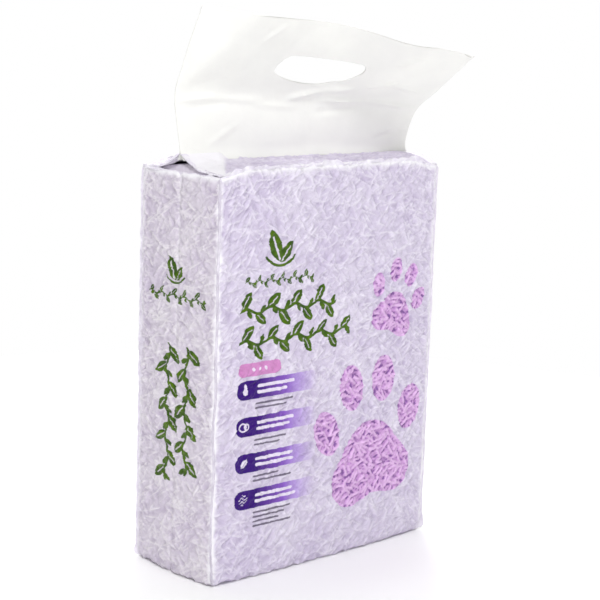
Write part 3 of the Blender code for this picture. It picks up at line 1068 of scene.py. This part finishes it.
def make_header(name, front, material, cutter):
    step = 1.8 * MM
    bpy.ops.mesh.primitive_grid_add(
        x_subdivisions=round(WIDTH / step), y_subdivisions=round(HEADER_LENGTH / step), size=1.0
    )
    sheet = bpy.context.active_object
    sheet.name = name
    sheet.scale = (WIDTH, HEADER_LENGTH, 1.0)
    sheet.location = (0.0, HEADER_LENGTH / 2, 0.0)
    bpy.ops.object.transform_apply(location=True, rotation=False, scale=True)
    thicken = sheet.modifiers.new("Film", "SOLIDIFY")
    thicken.thickness = FILM_THICKNESS
    thicken.offset = 0.0
    cut = sheet.modifiers.new("Hand hole", "BOOLEAN")
    cut.operation = "DIFFERENCE"
    cut.object = cutter
    mesh = evaluated_mesh(sheet)
    sheet.modifiers.clear()
    form = bmesh.new()
    form.from_mesh(mesh)
    bmesh.ops.triangulate(form, faces=[face for face in form.faces if len(face.verts) > 4])
    flat = np.array([vert.co for vert in form.verts])
    bent = header_points(header_edges(flat, front), front)
    for vert, place in zip(form.verts, bent):
        vert.co = place
    bmesh.ops.recalc_face_normals(form, faces=form.faces)
    form.to_mesh(mesh)
    form.free()
    sheet.data = mesh
    mesh.materials.clear()
    mesh.materials.append(material)
    mesh.shade_smooth()
    mesh.set_sharp_from_angle(angle=math.radians(60))
    return sheet


# The bag ---------------------------------------------------


def make_bag():
    front_step = 0.88 * MM
    other_step = 1.15 * MM
    plain, gusset = plain_material(), gusset_material()
    seam, header = seam_material("pinched_film", PINCHED_DARK, PINCHED_PALE), header_material()
    edge = seam_material("edge_film", EDGE_DARK, EDGE_PALE)
    film = [
        make_face("front_film", -1, front_step, front_material(), 11, True),
        make_face("back_film", 1, other_step, plain, 21, False),
        make_side("left_gusset", -1, front_step, gusset, 31),
        make_side("right_gusset", 1, other_step, gusset, 41),
        make_roof("front_roof", -1, 1.2 * MM, plain, 51),
        make_roof("back_roof", 1, 1.2 * MM, plain, 61),
        make_base("base_film", plain),
    ]
    for side, side_name in ((-1, "left"), (1, "right")):
        for face, face_name in ((-1, "front"), (1, "back")):
            seed = 200 + 10 * side + 3 * face
            film.append(make_corner_seam(f"{side_name}_{face_name}_seam", side, face, edge, seed))
            film.append(make_roof_end(f"{side_name}_{face_name}_roof_end", side, face, seam, seed + 50))
        film.append(make_side_lip(f"{side_name}_gusset_lip", side, seam, 300 + side))
    film.append(make_top_seam("front_top_seam", -1, seam, 401))
    film.append(make_top_seam("back_top_seam", 1, seam, 411))
    cutter = hole_cutter()
    layers = [
        make_header("header_front", True, header, cutter),
        make_header("header_back", False, header, cutter),
    ]
    bpy.data.objects.remove(cutter)
    for piece in film + layers:
        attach(piece, "root")
    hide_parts("litter_bag")


# Studio ----------------------------------------------------


VIEW_AZIMUTH = math.radians(-42.99)
VIEW_ELEVATION = math.radians(10.29)
VIEW_ROLL = math.radians(1.92)
VIEW_DISTANCE = 1.2954
VIEW_TARGET = (0.0101, 0.0, 0.2013)
VIEW_LENS = 96.64
GROUND_LIGHT = 1.0  # the white ground that goes on beyond the floor, up to the horizon
ROOM_LIGHT = 0.42  # the even light of the room above it


def make_camera():
    data = bpy.data.cameras.new("camera")
    data.lens = VIEW_LENS
    data.sensor_width = 36.0
    camera = placed("camera", data)
    back = np.array([
        math.sin(VIEW_AZIMUTH) * math.cos(VIEW_ELEVATION),
        -math.cos(VIEW_AZIMUTH) * math.cos(VIEW_ELEVATION),
        math.sin(VIEW_ELEVATION),
    ])
    right = np.cross(-back, [0, 0, 1])
    right /= np.linalg.norm(right)
    up = np.cross(back, right)
    c, s = math.cos(VIEW_ROLL), math.sin(VIEW_ROLL)
    right, up = c * right + s * up, -s * right + c * up
    place = np.array(VIEW_TARGET) + back * VIEW_DISTANCE
    rows = [[right[i], up[i], back[i], place[i]] for i in range(3)] + [[0, 0, 0, 1]]
    camera.matrix_world = [list(map(float, row)) for row in zip(*rows)]
    bpy.context.scene.camera = camera


def make_light(name, place, aim, size, power):
    data = bpy.data.lights.new(name, "AREA")
    data.shape = "RECTANGLE"
    data.size, data.size_y = size
    data.energy = power
    light = placed(name, data)
    light.location = place
    light.rotation_euler = (Vector(place) - Vector(aim)).to_track_quat("Z", "Y").to_euler()


def make_studio():
    scene = bpy.context.scene
    scene.view_settings.view_transform = "Standard"
    world = bpy.data.worlds.new("studio")
    scene.world = world
    world.use_nodes = True
    nodes, links = world.node_tree.nodes, world.node_tree.links
    nodes["Background"].inputs["Color"].default_value = (1, 1, 1, 1)
    split = nodes.new("ShaderNodeSeparateXYZ")
    links.new(nodes.new("ShaderNodeTexCoord").outputs["Generated"], split.inputs["Vector"])
    strength = nodes.new("ShaderNodeMapRange")
    limits = {"From Min": 0.03, "From Max": 0.2, "To Min": GROUND_LIGHT, "To Max": ROOM_LIGHT}
    for name, value in limits.items():
        strength.inputs[name].default_value = value
    links.new(split.outputs["Z"], strength.inputs["Value"])
    links.new(strength.outputs["Result"], nodes["Background"].inputs["Strength"])
    shader = Shader("studio_floor")
    shader.surface.inputs["Base Color"].default_value = (1, 1, 1, 1)
    shader.surface.inputs["Roughness"].default_value = 0.9
    bpy.ops.mesh.primitive_circle_add(
        vertices=96, radius=0.75, fill_type="NGON", location=(0, 0, FLOOR - 0.05 * MM)
    )
    floor = bpy.context.active_object
    floor.name = "studio_floor"
    floor.data.materials.append(shader.material)
    make_light("key", (-1.0, -1.1, 2.0), (0, 0, 0.2), (0.4, 0.4), 25.5)
    make_light("top", (0.3, 0.5, 2.2), (0, 0, 0.3), (1.2, 1.2), 20)
    make_light("fill", (-1.0, -1.5, 0.25), (0, 0, 0.05), (0.5, 0.3), 5.5)
    make_light("back", (1.3, 1.5, 1.3), (0, 0, 0.2), (0.5, 0.5), 14)


make_camera()
make_studio()
make_bag()
